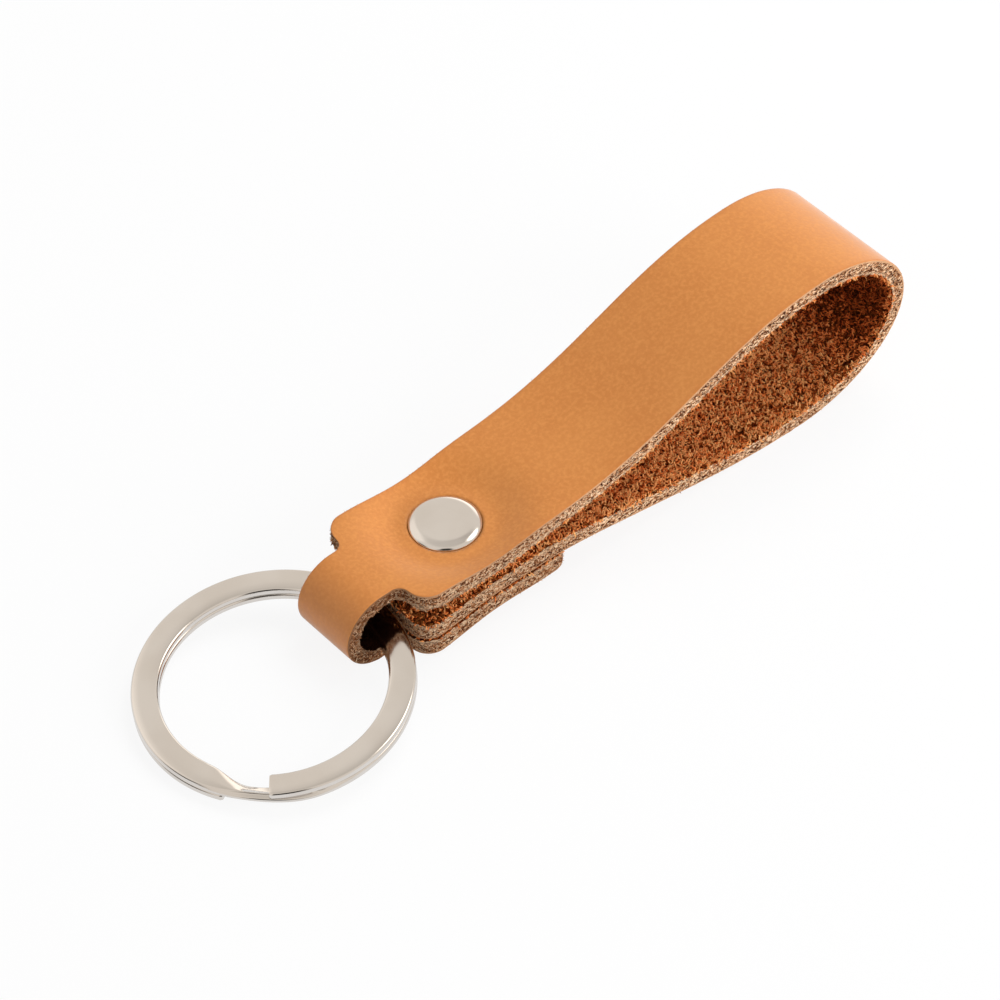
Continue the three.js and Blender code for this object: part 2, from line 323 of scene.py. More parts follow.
def rawEdge():
    look = edgeFinish
    material, tree, shader = startMaterial("raw_edge")
    place = result(tree, "ShaderNodeMapping", {"Vector": objectPlace(tree), "Scale": look["drawnOut"]})
    torn = flecks(place, look["scale"], look["bend"])
    colour = toneRamp(torn["Tone"], look)
    wander = times(minus(torn["Tone"], 0.5), look["wander"])
    through = plus(attribute(tree, "through"), wander)
    line = softStep(through, *look["lineLevels"])
    colour = blend(line, colour, tint(*look["grainLine"]))
    lip = softStep(through, *look["lipLevels"])
    colour = blend(times(lip, torn["Tone"]), colour, tint(*look["pale"]))
    # painted shade on the cut edges round the neck; on the riveted layers they are darker too
    colour = blend(attribute(tree, "edgeDarkening"), colour, tint(*look["darkenedEdge"]))
    normal = bump(torn["Height"], *look["bump"])
    feed(shader, Base_Color=colour, Roughness=look["roughness"], Normal=normal)
    feed(shader, Specular_IOR_Level=look["specular"])
    return material


napFinish = {
    "dark": (60, 21, 7),
    "brown": (188, 90, 41),
    "tan": (254, 145, 75),
    "pale": (255, 186, 118),
    "tones": {"dark": 0.08, "brown": 0.3, "tan": 0.52, "pale": 0.92},
    "roughness": 0.85,
    "specular": 0.0,
}
tornFinish = {
    **edgeFinish,
    "tones": {"dark": 0.0, "brown": 0.3, "beige": 0.6, "pale": 1.0},
    "roughness": 0.85,
    "specular": 0.0,
}


def fibreMaterial(name, look):  # each fibre has one random tone
    material, tree, shader = startMaterial(name)
    colour = toneRamp(attribute(tree, "tone"), look)
    feed(shader, Base_Color=colour, Roughness=look["roughness"])
    feed(shader, Specular_IOR_Level=look["specular"])
    return material


nickelFinish = {
    "plate": (216, 211, 206),
    "warm": (211, 205, 199),
    "cloudScale": 160,
    "polishScale": 5000,
    "polishDetail": 1.0,
    "levels": (0.3, 0.7),
    "roughness": 0.09,
    "cloudRoughness": 0.05,  # added to it
    "bump": (0.04, 0.01 * mm),
}


def polishedNickel():
    look = nickelFinish
    material, tree, shader = startMaterial("polished_nickel")
    place = objectPlace(tree)
    clouds = mottle(place, look["cloudScale"], *look["levels"])
    haze = mottle(place, look["polishScale"], *look["levels"], look["polishDetail"])
    colour = blend(clouds, tint(*look["plate"]), tint(*look["warm"]))
    rough = plus(times(clouds, look["cloudRoughness"]), look["roughness"])
    feed(shader, Base_Color=colour, Metallic=1.0, Roughness=rough)
    feed(shader, Normal=bump(haze, *look["bump"]))
    return material


grain = grainLeather()
flesh = fleshLeather()
edge = rawEdge()
nickel = polishedNickel()
print("finishes made")


# The strap, from the same sizes as the solid
strap = {
    "thickness": 2.0,
    "width": 19.0,
    "neckWidth": 10.0,
    "shoulderRadius": 3.0,
    "endRadius": 2.8,
    "layerGap": 0.58,
    "flapReach": 12.9,
    "shoulderReach": 12.0,
    "neckLength": 3.4,
    "neckBend": 3.7,
    "neckDrop": 0.95,
    "flapDrop": 1.4,
    "innerDrop": 1.1,
    "loopStart": 8.0,
    "loopReach": 72.2,
    "loopEndHeight": 0.75,
    "crestBack": 14.7,
    "crestHeight": 11.7,
    "sagBack": 17.55,
    "sagDepth": 11.5,
    "armEase": 23.0,
    "crestEase": 19.0,
    "sagEase": 16.0,
    "returnEase": 9.0,
    "dishFlat": 6.0,
    "dishSpread": 4.2,
    "holeRadius": 2.15,
    "curvePoints": 300,  # on each curve of the side line
    "straightPoints": 200,
    "headingReach": 0.05,  # to each side, where its heading is taken
    "step": 0.44,  # along the strap
    "leastStep": 0.07,
    "capReach": 5.8,  # steps are half as long this near to the rivet
    "cornerSteps": 14,  # on each rounded corner
    "columns": 58,  # across it
    "rows": 7,  # through it
    "fleshRow": 0.15,  # depth of the row next to the flesh side
    "bevel": 0.16,  # rounded edge of the grain side
    "skew": 1.1,  # the far shoulder was cut a little nearer to the neck
    "napRise": 0.2,  # how far the nap stands proud of the solid leather
    "looseRise": 0.4,  # and more where the riveted layers part
    "neckPress": 0.9,  # share of it that is pressed flat in the neck
    "nap": 0.14,  # roughness of the flesh side
    "napSize": 0.9,
    "tear": 0.08,  # roughness of the cut edges
    "tearSize": 0.5,
    "lipTear": 2.0,  # times as rough beside the flesh side
}

# Where a change along the strap begins and ends, from one mark and from the next
zones = {
    "loop": ((-4, 2), (-2, 4)),
    "bend": ((-3, 3), (-3, 3)),
    "neck": ((-3, 2), (-2, 3)),
    "flatNap": ((-1, 2), (-2, 1)),
    "tightEnd": ((-18, 2), (4, 20)),
    "riveted": ((-4, 10), (-12, 0)),
    "looseLayers": ((-2, 8), (-12, 0)),
}

# How much the leather changes, and how dark its painted shade is, as shares. A reach is where a change
# begins and ends
wear = {
    "bendShade": 0.5,
    "rubbedEdge": 0.8,
    "rubbedReach": (0.1, 0.7),  # from the edge
    "neckEdgeShade": 0.72,
    "layerEdgeDarkening": 0.33,
    "tipShade": 0.68,  # painted shade on the nap in the loop's tight end
    "tipShadeRim": (0.3, 0.7),  # share at the edge, and what is added inside
    "tipShadeReach": (0.2, 1.4),  # from the edge
    "nearNeckShade": 0.45,  # and painted shade by the neck
    "topShoulderShade": 0.5,
    "topShoulderShadeReach": (0, 8),  # from the top layer's shoulder
    "innerEndShade": 0.7,
    "innerEndShadeReach": (-8, -1),  # from the strap's inner end
    "rimFuzz": 0.6,
    "rimFuzzReach": (1.5, 3.5),  # from the edge
    "looseReach": (-11, -7),  # from the rivet: no long fibres where the ring swings
}

rivet = {
    "aside": 0.4,  # from the strap's middle
    "capRadius": 4.82,
    "capBevel": 1.5,
    "bevelSlopes": (3, 68),  # degrees, at the flat and at the rim
    "bevelDrop": 0.74,
    "capSheet": 0.25,
    "capHeight": 1.2,
    "hemWidth": 1.1,
    "capPress": 0.55,  # how deep the caps press the leather
    "capLift": 0.15,  # of a cap's hem above the pressed leather
    "rimGap": 0.1,  # between a cap and the leather round it
    "crown": 0.05,  # the flat top is very slightly domed
    "flatPoints": 8,
    "bevelPoints": 14,
    "rimPoints": 6,
    "segments": 128,
    "sharpAngle": 35,  # degrees
}

half = strap["thickness"] / 2
filletRadius = (strap["width"] - strap["neckWidth"]) / 2 - strap["shoulderRadius"]
bendRadius = strap["neckBend"] + half
middleZ = -strap["thickness"] - strap["layerGap"] - half
stack = 3 * strap["thickness"] + 2 * strap["layerGap"]


def boxMiddle(node):
    low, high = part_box(node)
    return (low + high) / 2


def strapPlace():  # the rivet's axis in the frame gives the strap's tilt and place
    upper, lower = boxMiddle("rivet_top_cap"), boxMiddle("rivet_bottom_cap")
    up = (upper - lower).normalized()
    side = Vector((0, 1, 0))
    along = side.cross(up).normalized()
    turn = Matrix((along, side, up)).transposed().to_4x4()
    top = (upper + lower) / 2 + (up * stack / 2 - side * rivet["aside"]) * mm
    return Matrix.Translation(top) @ turn @ Matrix.Scale(mm, 4)


fobPlace = strapPlace()


def bezier(a, b, c, d):
    t = np.linspace(0, 1, strap["curvePoints"])[:, None]
    a, b, c, d = (np.array(p, float) for p in (a, b, c, d))
    return (1 - t) ** 3 * a + 3 * t * (1 - t) ** 2 * b + 3 * t * t * (1 - t) * c + t**3 * d


def straight(a, b):
    return np.linspace(a, b, strap["straightPoints"])


def sideLine():  # the strap's middle line seen from the side, and its length up to the end of each stretch
    s = strap
    bottomZ = middleZ - s["thickness"] - s["layerGap"] - s["flapDrop"]
    neckZ = bottomZ - s["neckDrop"]
    neckX = -s["shoulderReach"] - s["neckLength"]
    topZ = neckZ + 2 * bendRadius
    crest = (s["loopReach"] - s["crestBack"], s["crestHeight"])
    tip = (s["loopReach"], s["loopEndHeight"])
    sag = (s["loopReach"] - s["sagBack"], -s["sagDepth"])
    start = s["loopStart"]
    slope = s["neckDrop"] / (s["flapReach"] - neckX)
    k = 0.5523  # handle length of a quarter turn
    turn = np.linspace(-math.pi / 2, -3 * math.pi / 2, s["curvePoints"])

    def onFlap(x):  # the inner end lies along the flap
        return (x, middleZ - s["innerDrop"] + slope * (x - start))

    def quarter(a, b, level):
        if level:
            return bezier(a, (a[0] + k * (b[0] - a[0]), a[1]), (b[0], b[1] - k * (b[1] - a[1])), b)
        return bezier(a, (a[0], a[1] + k * (b[1] - a[1])), (b[0] - k * (b[0] - a[0]), b[1]), b)

    stretches = [
        straight((s["flapReach"], bottomZ), (neckX, neckZ)),
        np.stack([neckX + bendRadius * np.cos(turn), neckZ + bendRadius * (1 + np.sin(turn))], 1),
        straight((neckX, topZ), (start, topZ)),
        bezier((start, topZ), (start + s["armEase"], topZ), (crest[0] - s["crestEase"], crest[1]), crest),
        quarter(crest, tip, True),
        quarter(tip, sag, False),
        bezier(sag, (sag[0] - s["sagEase"], sag[1]), onFlap(start + s["returnEase"]), onFlap(start)),
        straight(onFlap(start), onFlap(-s["shoulderReach"])),
    ]
    points = np.concatenate([stretches[0]] + [stretch[1:] for stretch in stretches[1:]])
    lengths = np.concatenate([[0], np.cumsum(np.hypot(*np.diff(points, axis=0).T))])
    ends = np.cumsum([len(stretch) - 1 for stretch in stretches])
    return points, lengths, lengths[ends]


line, lineLengths, marks = sideLine()
bendStart, bendEnd, loopStart, crestPlace, tipPlace, _, innerStart, strapLength = marks
flapShoulder = strap["flapReach"] + strap["shoulderReach"]
topShoulder = bendEnd + strap["neckLength"]
neckMiddle = (bendStart + bendEnd) / 2


def onLine(s):
    return np.stack([np.interp(s, lineLengths, line[:, 0]), np.interp(s, lineLengths, line[:, 1])], -1)


def heading(s):
    reach = strap["headingReach"]
    ahead = onLine(np.minimum(s + reach, strapLength)) - onLine(np.maximum(s - reach, 0))
    return ahead / np.linalg.norm(ahead, axis=-1, keepdims=True)


def onOuterLayers(s):  # on the flap, or on the top layer up to the loop
    return (s < bendStart) | ((s > bendEnd) & (s < loopStart))


def halfWidth(s, skew=0.0):  # rounded ends, and shoulders that run into the neck by an S curve
    wide, narrow = strap["width"] / 2, strap["neckWidth"] / 2

    def corner(radius, inside):
        inside = np.clip(inside, 0, radius)
        return radius - np.sqrt(radius**2 - (radius - inside) ** 2)

    fromEnd = np.minimum(s, strapLength - s)
    fromShoulder = np.maximum(flapShoulder - s, s - topShoulder + skew)
    body = wide - corner(strap["shoulderRadius"], fromShoulder)
    neck = narrow + corner(filletRadius, -fromShoulder)
    return np.where(fromShoulder >= 0, body, neck) - corner(strap["endRadius"], fromEnd)


def stations():
    s = strap
    rise = 1 - np.cos(np.linspace(0, math.pi / 2, s["cornerSteps"]))
    fine = np.arange(0, strapLength, s["step"] / 2)
    clamped = (np.abs(onLine(fine)[:, 0]) < s["capReach"]) & onOuterLayers(fine)
    places = np.concatenate(
        [
            np.arange(0, strapLength, s["step"]),
            fine[clamped],
            s["endRadius"] * rise,
            strapLength - s["endRadius"] * rise,
            flapShoulder - s["shoulderRadius"] * rise,
            flapShoulder + filletRadius * rise,
            topShoulder + s["shoulderRadius"] * rise,
            topShoulder - filletRadius * rise,
        ]
    )
    kept = [0.0]
    for place in np.sort(places):
        if place - kept[-1] > s["leastStep"]:
            kept.append(place)
    kept[-1] = strapLength
    return np.array(kept)


def smooth(low, high, value):
    t = np.clip((value - low) / (high - low), 0, 1)
    return t * t * (3 - 2 * t)


def between(s, first, second, zone):  # 1 from one mark to the next
    (rise, risen), (fall, fallen) = zones[zone]
    return smooth(first + rise, first + risen, s) * (1 - smooth(second + fall, second + fallen, s))


def outside(s, first, second, zone):  # 1 before one mark and after the next
    (fall, fallen), (rise, risen) = zones[zone]
    before = 1 - smooth(first + fall, first + fallen, s)
    return np.maximum(before, smooth(second + rise, second + risen, s))


# Draws the lattice's points just outside a cap up to its rim, and gives how deep those inside are pressed
def capSeats(x, y, outer):
    rim, aside = rivet["capRadius"] + rivet["rimGap"], rivet["aside"]
    reach = np.hypot(x, y - aside)
    within = (reach < rim) & outer
    ring = np.pad(within, 1)
    beside = ring[:-2, 1:-1] | ring[2:, 1:-1] | ring[1:-1, :-2] | ring[1:-1, 2:]
    onRim = np.where(beside & ~within & outer, rim / np.maximum(reach, rim), 1.0)
    return x * onRim, aside + (y - aside) * onRim, rivet["capPress"] * within


def strapLattice():  # points along, across and through the leather, in the strap's own frame
    s = strapStations
    middle, along = onLine(s), heading(s)
    bevel, near, far = strap["bevel"], halfWidth(s)[:, None], halfWidth(s, strap["skew"])[:, None]
    part = np.linspace(0, 1, strap["columns"] - 1)[None]
    across = (1 - part) * (bevel - near) + part * (far - bevel)
    y = np.concatenate([-near, across, far], 1)
    x0, z0 = np.repeat(middle[:, :1], y.shape[1], 1), middle[:, 1:]
    x0, y, pressed = capSeats(x0, y, onOuterLayers(s)[:, None])
    reach = np.hypot(x0, y - rivet["aside"])
    clamp = np.exp(-((np.maximum(0, reach - strap["dishFlat"]) / strap["dishSpread"]) ** 2))
    clampedZ = np.where(s < neckMiddle, half - stack, np.where(s < tipPlace, -half, middleZ))[:, None]
    z0 = z0 + clamp * (clampedZ - z0)
    layers = outside(s, loopStart, innerStart, "looseLayers")[:, None]
    flatNap = between(s, flapShoulder, topShoulder, "flatNap")
    nap = strap["napRise"] + strap["looseRise"] * layers * (1 - clamp)
    nap = (nap * (1 - strap["neckPress"] * flatNap)[:, None])[:, :, None]
    rise = np.linspace(0, 1, strap["rows"] - 1)
    inside = (1 - rise) * (strap["fleshRow"] - half - nap) + rise * (half - bevel)
    t = np.concatenate([-half - nap, inside, half + 0 * nap], 2)
    y = np.repeat(y[:, :, None], strap["rows"] + 1, 2)
    cut = bevel * (1 - math.sqrt(0.5))  # the corner of the grain side is rounded off
    y[:, 0, -1] += cut
    y[:, -1, -1] -= cut
    t[:, (0, -1), -1] -= cut
    t[:, :, -2:] -= pressed[:, :, None]
    x = x0[:, :, None] - t * along[:, 1, None, None]
    z = z0[:, :, None] + t * along[:, 0, None, None]
    return np.stack([x, y, z], -1), t


strapStations = stations()
strapPoints, strapThrough = strapLattice()
lastStation, lastColumn, topRow = (count - 1 for count in strapThrough.shape)
grainFace, fleshFace, edgeFace = range(3)


def strapCells():  # cells of the lattice that hold leather: all but the rivet's hole through the layers
    centre = (strapPoints[:-1, :-1, 0] + strapPoints[1:, 1:, 0]) / 2
    s = (strapStations[:-1] + strapStations[1:]) / 2
    layers = (onOuterLayers(s) | (s > innerStart))[:, None]
    reach = np.hypot(centre[..., 0], centre[..., 1] - rivet["aside"])
    return ~((reach < strap["holeRadius"]) & layers)


def strapFaces():  # the lattice points in use, the faces between them, and each face's finish
    ids, spots, faces, kinds = {}, [], [], []

    def vertex(spot):
        if spot not in ids:
            ids[spot] = len(spots)
            spots.append(spot)
        return ids[spot]

    def face(kind, *corners):
        faces.append([vertex(corner) for corner in corners])
        kinds.append(kind)

    present = np.pad(strapCells(), 1)
    top = topRow
    for i in range(lastStation):
        for j in range(lastColumn):
            if not present[i + 1, j + 1]:
                continue
            face(grainFace, (i, j, top), (i + 1, j, top), (i + 1, j + 1, top), (i, j + 1, top))
            face(fleshFace, (i, j + 1, 0), (i + 1, j + 1, 0), (i + 1, j, 0), (i, j, 0))
            for neighbour, a, b in (
                (present[i + 1, j], (i, j), (i + 1, j)),
                (present[i + 1, j + 2], (i + 1, j + 1), (i, j + 1)),
                (present[i, j + 1], (i, j + 1), (i, j)),
                (present[i + 2, j + 1], (i + 1, j), (i + 1, j + 1)),
            ):
                if neighbour:
                    continue
                for k in range(top):
                    face(edgeFace, (*a, k), (*b, k), (*b, k + 1), (*a, k + 1))
    return spots, faces, kinds


def roughen(point, size, depth):  # coarse noise, and a share of a finer one
    share, finer, elsewhere = 0.6, 2.3, Vector((7, 3, 5))
    return depth * (noise.noise(point / size) + share * noise.noise(point * finer / size + elsewhere))


def strapSurface(spots):  # the points in use, with the nap and the torn edges roughened
    along = heading(strapStations)
    points = []
    for i, j, k in spots:
        point = Vector(strapPoints[i, j, k])
        if k == 0:
            grainWay = Vector((-along[i, 1], 0, along[i, 0]))
            point += grainWay * roughen(point, strap["napSize"], strap["nap"])
        if j in (0, lastColumn) and k < topRow:
            rougher = strap["lipTear"] if k == 0 else 1.0
            point.y += roughen(point, strap["tearSize"], strap["tear"]) * rougher
        points.append(fobPlace @ point)
    return points


def strapAttributes(spots):  # what the finishes and the fibres go by, at each point
    i, j, k = np.array(spots).T
    s, x, y = strapStations[i], strapPoints[i, j, k, 0], strapPoints[i, j, k, 1]
    w = wear
    room = np.minimum(halfWidth(s) + y, halfWidth(s, strap["skew"]) - y)
    fromEdge = np.minimum(room, np.minimum(s, strapLength - s))
    inLoop = between(s, loopStart, innerStart, "loop")
    inBend = between(s, bendStart, bendEnd, "bend")
    inNeck = between(s, flapShoulder, topShoulder, "neck")
    riveted = outside(s, loopStart, innerStart, "riveted")
    rubbedEdge = w["rubbedEdge"] * (1 - smooth(*w["rubbedReach"], fromEdge))
    atEdge, added = w["tipShadeRim"]
    inTip = between(s, crestPlace, tipPlace, "tightEnd")
    atTip = inTip * (atEdge + added * smooth(*w["tipShadeReach"], fromEdge))
    atTop = w["topShoulderShade"] * (1 - smooth(*w["topShoulderShadeReach"], s - topShoulder))
    atEnd = w["innerEndShade"] * smooth(*w["innerEndShadeReach"], s - strapLength)
    rim = 1 - smooth(*w["rimFuzzReach"], fromEdge)
    fuzz = (k == 0) * np.maximum(inLoop, w["rimFuzz"] * rim) * (1 - inNeck)
    onCut = np.isin(j, (0, lastColumn)) | np.isin(i, (0, lastStation))
    return {
        "through": strapThrough[i, j, k] / strap["thickness"] + 0.5,
        # rubbed along the cut edges, with painted shade in the neck's bend
        "rubbedAndShaded": np.maximum(w["bendShade"] * inBend, rubbedEdge),
        "inNeck": inNeck,
        # the cut edges: painted shade round the neck, darker on the riveted layers
        "edgeDarkening": np.maximum(w["neckEdgeShade"] * inNeck, w["layerEdgeDarkening"] * riveted),
        # painted shade on the flesh side: the loop's tight end, the top layer by the neck, and the inner
        # end
        "paintedShade": np.maximum(w["tipShade"] * atTip, w["nearNeckShade"] * np.maximum(atTop, atEnd)),
        "fleshFuzz": fuzz,
        "looseFuzz": fuzz * smooth(*w["looseReach"], x),
        "edgeFuzz": onCut * (k < topRow - 1) * 1.0,
    }


def buildStrap():
    spots, faces, kinds = strapFaces()
    mesh = bpy.data.meshes.new("strap")
    mesh.from_pydata(strapSurface(spots), [], faces)
    mesh.polygons.foreach_set("material_index", kinds)
    mesh.polygons.foreach_set("use_smooth", [True] * len(kinds))
    for material in (grain, flesh, edge):
        mesh.materials.append(material)
    for name, value in strapAttributes(spots).items():
        mesh.attributes.new(name, "FLOAT", "POINT").data.foreach_set("value", value.astype(np.float32))
    mesh.update()
    return mesh


def addPiece(name, mesh, body, slot, *nodes):
    piece = addObject(name, mesh)
    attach(piece, body)
    if nodes:
        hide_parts(*nodes)
    return piece


strapPiece = addPiece("folded_strap", buildStrap(), "fob", "leather", "strap")
print("strap:", len(strapPiece.data.polygons), "faces")


# Helpers for geometry trees
def named(tree, name):
    return result(tree, "GeometryNodeInputNamedAttribute", {"Name": name}, data_type="FLOAT")


def store(tree, geometry, name, value):
    values = {"Geometry": geometry, "Name": name, "Value": value}
    return result(tree, "GeometryNodeStoreNamedAttribute", values, data_type="FLOAT", domain="POINT")


def position(tree):
    return result(tree, "GeometryNodeInputPosition")


def setPosition(tree, geometry, place):
    return result(tree, "GeometryNodeSetPosition", {"Geometry": geometry, "Position": place})


def sweepSection(tree, curve, section, scale):
    swept = {"Curve": curve, "Profile Curve": section, "Scale": scale, "Fill Caps": True}
    return result(tree, "GeometryNodeCurveToMesh", swept)


def finishTree(tree, geometry, material):
    real = result(tree, "GeometryNodeRealizeInstances", {"Geometry": geometry})
    dressed = result(tree, "GeometryNodeSetMaterial", {"Geometry": real, "Material": material})
    put(tree, "NodeGroupOutput", {"Geometry": dressed})


def runNodes(tree, source, values):  # the mesh that a geometry tree makes from a source mesh
    maker = addObject("maker", source)
    modifier = maker.modifiers.new("nodes", "NODES")
    modifier.node_group = tree
    keys = {item.name: item.identifier for item in tree.interface.items_tree if item.in_out == "INPUT"}
    for name, value in values.items():
        modifier[keys[name]] = value
    graph = bpy.context.evaluated_depsgraph_get()
    made = bpy.data.meshes.new_from_object(maker.evaluated_get(graph), depsgraph=graph)
    maker.modifiers.remove(modifier)
    bpy.data.objects.remove(maker)
    return made


# Loose fibres, scattered over the flesh side and the cut edges
fibre = {
    "root": (0, -0.1),  # sideways and upwards, as shares of the length
    "middle": (0, 0.6),
    "end": (0.6, 0.8),
    "taper": 0.7,
    "sides": 3,
    "sizes": (0.5, 1.3),
    "ownTone": 0.9,
    "clumpTone": 2.8,
    "clumpMiddle": 0.46,
    "clumpScale": 1400.0,
}


def bentFibre(tree, given):
    def along(sideways, upwards):
        across = times(given["Length"], sideways)
        return combine(tree, x=across, z=times(given["Length"], upwards))

    bends = {"Start": along(*fibre["root"]), "Middle": along(*fibre["middle"]), "End": along(*fibre["end"])}
    arc = result(tree, "GeometryNodeCurveQuadraticBezier", {"Resolution": given["Bends"], **bends})
    part = result(tree, "GeometryNodeSplineParameter")
    taper = minus(1.0, times(part, fibre["taper"]))
    circle = {"Resolution": fibre["sides"], "Radius": given["Radius"]}
    section = result(tree, "GeometryNodeCurvePrimitiveCircle", circle)
    return sweepSection(tree, arc, section, taper)


def fibreTone(tree, given):  # random, but alike in a clump, and darkened where shade is painted
    own = put(tree, "FunctionNodeRandomValue", {"Seed": given["Seed"]}, data_type="FLOAT").outputs[1]
    cloud = {"Vector": position(tree), "Scale": given["Clump Scale"]}
    clump = result(tree, "ShaderNodeTexNoise", cloud)
    shared = times(minus(clump, fibre["clumpMiddle"]), fibre["clumpTone"])
    tone = plus(times(own, fibre["ownTone"]), shared)
    # painted shade darkens the fibres where the flesh side is shaded
    return times(tone, minus(1.0, named(tree, "paintedShade")))


def fibreTurn(tree, given, upright):  # each leans and turns at random
    lean = combine(tree, given["Lean"], given["Lean"], math.pi)
    back = vectorMaths(tree, "SCALE", {0: lean, "Scale": -1.0})["Vector"]
    limits = {0: back, 1: lean, "Seed": given["Seed"]}
    tilt = result(tree, "FunctionNodeRandomValue", limits, data_type="FLOAT_VECTOR")
    by = result(tree, "FunctionNodeEulerToRotation", {"Euler": tilt})
    values = {"Rotation": upright, "Rotate By": by}
    return result(tree, "FunctionNodeRotateRotation", values, rotation_space="LOCAL")


def fibreTree():
    inputs = {
        "Geometry": "Geometry",
        "Mask": "String",
        "Per Square Metre": "Float",
        "Length": "Float",
        "Radius": "Float",
        "Lean": "Float",
        "Bends": "Int",
        "Clump Scale": "Float",
        "Seed": "Int",
        "Material": "Material",
    }
    tree, given = newTree("fibres", "GeometryNodeTree", inputs, {"Geometry": "Geometry"})
    spread = put(
        tree,
        "GeometryNodeDistributePointsOnFaces",
        {
            "Mesh": given["Geometry"],
            "Density": times(named(tree, given["Mask"]), given["Per Square Metre"]),
            "Seed": given["Seed"],
        },
        distribute_method="RANDOM",
    ).outputs
    least, most = fibre["sizes"]
    limits = {2: least, 3: most, "Seed": given["Seed"]}
    copies = result(
        tree,
        "GeometryNodeInstanceOnPoints",
        {
            "Points": store(tree, spread["Points"], "tone", fibreTone(tree, given)),
            "Instance": bentFibre(tree, given),
            "Rotation": fibreTurn(tree, given, spread["Rotation"]),
            "Scale": put(tree, "FunctionNodeRandomValue", limits, data_type="FLOAT").outputs[1],
        },
    )
    finishTree(tree, copies, given["Material"])
    return tree


fleshTufts = {
    "Mask": "fleshFuzz",
    "Per Square Metre": 3.2e6,
    "Length": 0.42 * mm,
    "Radius": 0.14 * mm,
    "Lean": 1.0,
    "Bends": 1,
}
fleshFibres = {
    "Mask": "looseFuzz",
    "Per Square Metre": 1.6e6,
    "Length": 0.8 * mm,
    "Radius": 0.05 * mm,
    "Lean": 1.2,
    "Bends": 2,
}
edgeFibres = {
    "Mask": "edgeFuzz",
    "Per Square Metre": 6e6,
    "Length": 0.25 * mm,
    "Radius": 0.05 * mm,
    "Lean": 1.3,
    "Bends": 1,
}


def addFibres(name, tree, sizes, seed, material):
    values = {**sizes, "Clump Scale": fibre["clumpScale"], "Seed": seed, "Material": material}
    mesh = runNodes(tree, strapPiece.data, values)
    mesh.name = name
    addPiece(name, mesh, "fob", "leather")
    mesh.calc_loop_triangles()
    print(name + ":", len(mesh.loop_triangles), "triangles")


scatter = fibreTree()
napLook = fibreMaterial("nap_fibres", napFinish)
tornLook = fibreMaterial("torn_fibres", tornFinish)
for seed in (1, 2, 3, 4, 5):
    addFibres("flesh_tufts_" + str(seed), scatter, fleshTufts, seed, napLook)
addFibres("flesh_fibres", scatter, fleshFibres, 6, napLook)
for seed in (7, 8):
    addFibres("edge_fibres_" + str(seed), scatter, edgeFibres, seed, tornLook)


# The rivet's two caps: a pressed shell, turned about the axis
def capProfile():
    r = rivet
    flat = r["capRadius"] - r["capBevel"]
    inside = r["capRadius"] - r["capSheet"]
    hem = r["capRadius"] - r["hemWidth"]
    height, sheet, drop = r["capHeight"], r["capSheet"], r["bevelDrop"]
    profile = [(flat * t, height - r["crown"] * t * t) for t in np.linspace(0, 1, r["flatPoints"])]
    slopes = np.radians(np.linspace(*r["bevelSlopes"], r["bevelPoints"]))
    run, fall = np.cumsum(np.cos(slopes)), np.cumsum(np.sin(slopes))
    run, fall = r["capBevel"] * run / run[-1], (drop - r["crown"]) * fall / fall[-1]
    profile += [(flat + across, height - r["crown"] - down) for across, down in zip(run, fall)]
    rim = np.linspace(0, math.pi / 2, r["rimPoints"])
    profile += [(inside + sheet * math.cos(a), sheet - sheet * math.sin(a)) for a in rim]
    profile += [(hem, 0.0), (hem, sheet), (inside, sheet), (inside, height - drop)]
    profile += [(flat, height - sheet - r["crown"]), (0.0, height - sheet)]
    return profile


def shadeSmooth(mesh, sharpAngle):
    mesh.polygons.foreach_set("use_smooth", [True] * len(mesh.polygons))
    mesh.set_sharp_from_angle(angle=math.radians(sharpAngle))


def capMesh(name, place):
    work = bmesh.new()
    ring = [work.verts.new((radius, 0, z)) for radius, z in capProfile()]
    edges = [work.edges.new(pair) for pair in zip(ring, ring[1:])]
    turn = {"axis": (0, 0, 1), "cent": (0, 0, 0), "angle": 2 * math.pi, "steps": rivet["segments"]}
    bmesh.ops.spin(work, geom=ring + edges, **turn)
    bmesh.ops.remove_doubles(work, verts=work.verts, dist=1e-4)
    bmesh.ops.recalc_face_normals(work, faces=work.faces)
    work.transform(place)
    mesh = bpy.data.meshes.new(name)
    work.to_mesh(mesh)
    work.free()
    shadeSmooth(mesh, rivet["sharpAngle"])
    mesh.materials.append(nickel)
    return mesh


capSeat = rivet["capLift"] - rivet["capPress"]  # height of the upper cap's rim
turnedOver = Matrix.Rotation(math.pi, 4, "X")
upperCap = fobPlace @ Matrix.Translation((0, rivet["aside"], capSeat))
lowerCap = fobPlace @ Matrix.Translation((0, rivet["aside"], -stack - capSeat)) @ turnedOver
addPiece("rivet_cap_upper", capMesh("rivet_cap_upper", upperCap), "fob", "nickel", "rivet_top_cap")
addPiece("rivet_cap_lower", capMesh("rivet_cap_lower", lowerCap), "fob", "nickel", "rivet_bottom_cap")
for inner in ("rivet_socket", "rivet_post"):
    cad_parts[inner].data.materials.clear()
    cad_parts[inner].data.materials.append(nickel)
print("rivet caps made")


